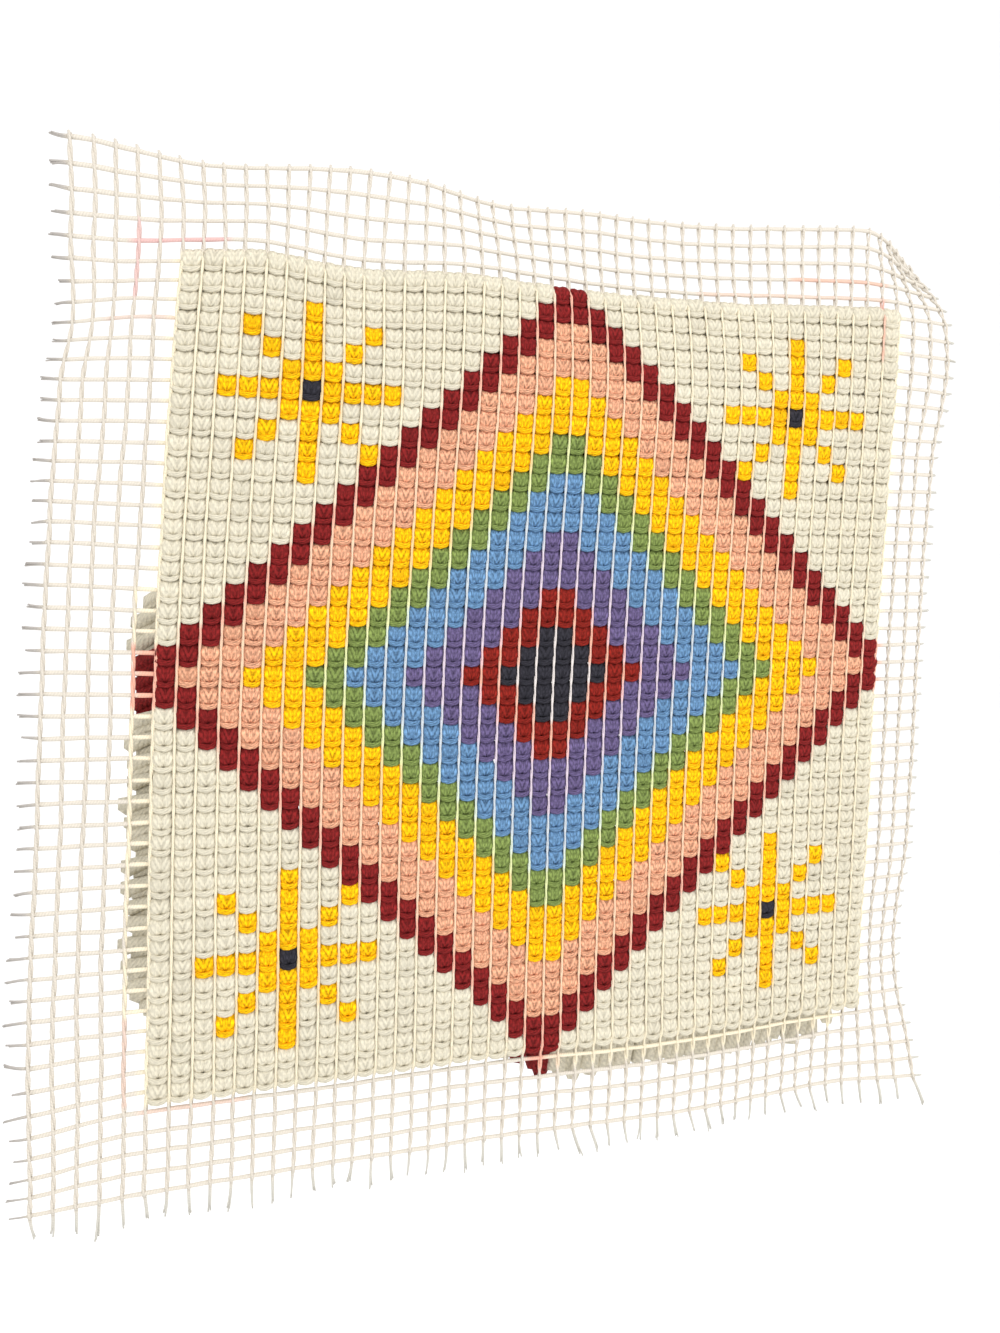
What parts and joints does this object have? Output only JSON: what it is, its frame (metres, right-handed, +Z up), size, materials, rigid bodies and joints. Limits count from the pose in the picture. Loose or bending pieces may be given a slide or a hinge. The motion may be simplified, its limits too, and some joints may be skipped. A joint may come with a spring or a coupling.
{
  "type": "latch hook wall hanging",
  "caption": "Nearly square latch hook wall hanging seen from its back: open rug canvas knotted with yarn, bare frayed margins, cut pile on the far side.",
  "frame": {"origin": "middle of the canvas's top edge, where the hanging is held", "axes": "+Z up, +X to the right as seen from the pictured side, -Y out of the pictured side with the knots' backs, +Y out of the pile"},
  "size_m": [0.3543, 0.0398, 0.3505],
  "materials": {
    "canvas": "matte cotton canvas threads",
    "knot_backs": "matte plied yarn",
    "pile": "matte cut yarn",
    "thread_ends": "matte frayed cotton"
  },
  "bodies": {
    "root": {"canvas": "canvas", "knot_backs": "knot_backs", "pile": "pile", "ends_left": "thread_ends", "ends_right": "thread_ends", "ends_bottom": "thread_ends"}
  },
  "joints": []
}
